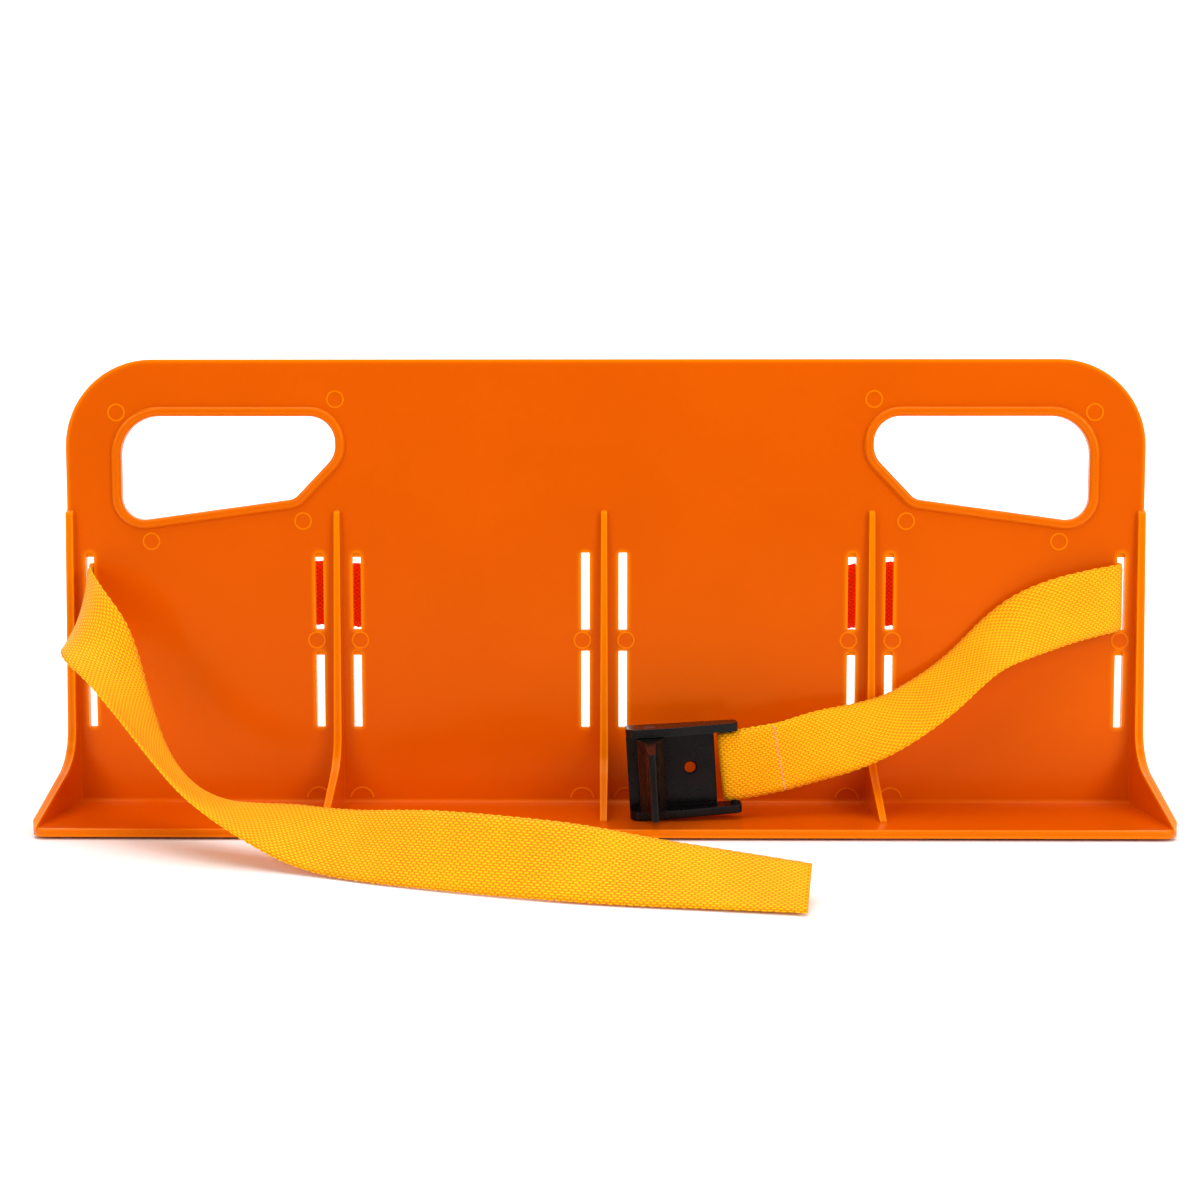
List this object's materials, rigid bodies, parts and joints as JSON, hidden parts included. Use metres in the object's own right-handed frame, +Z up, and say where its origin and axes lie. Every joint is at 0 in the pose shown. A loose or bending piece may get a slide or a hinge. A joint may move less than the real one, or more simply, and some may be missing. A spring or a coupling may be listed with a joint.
{
  "type": "car boot cargo stop",
  "caption": "Orange moulded car boot cargo stop with ribbed foot, hand grips, strap slots, yellow webbing strap and black cam buckle.",
  "frame": {"origin": "on the floor, under the middle of the panel and its foot", "axes": "+X along the panel to the right seen from the front, -Y towards the front over the foot, +Z up"},
  "size_m": [0.614, 0.2692, 0.26],
  "materials": {
    "orange_plastic": "semi-gloss moulded",
    "hook_tape": "hook pile",
    "yellow_webbing": "woven",
    "stitching_thread": "thread",
    "black_plastic": "moulded, slightly glossy",
    "pin_steel": "dark plated"
  },
  "bodies": {
    "root": {"panel": "orange_plastic", "hook_pad_1": "hook_tape", "hook_pad_2": "hook_tape", "hook_pad_3": "hook_tape", "hook_pad_4": "hook_tape", "strap_buckle_run": "yellow_webbing", "strap_back_run": "yellow_webbing", "strap_tail": "yellow_webbing", "strap_stitching": "stitching_thread"},
    "buckle": {"buckle_frame": "black_plastic", "cam_pin": "pin_steel"},
    "lever": {"cam_lever": "black_plastic"}
  },
  "joints": [
    {"name": "buckle_swing", "type": "hinge", "parent": "root", "child": "buckle", "pos_m": [0.07141, -0.00525, 0.03476], "axis": [-0.0593, -0.0139, 0.9981], "range_deg": [-20, 15]},
    {"name": "cam_lever_hinge", "type": "hinge", "parent": "buckle", "child": "lever", "pos_m": [0.02659, -0.01061, 0.03202], "axis": [-0.0593, -0.0139, 0.9981], "range_deg": [-25, 80]}
  ]
}
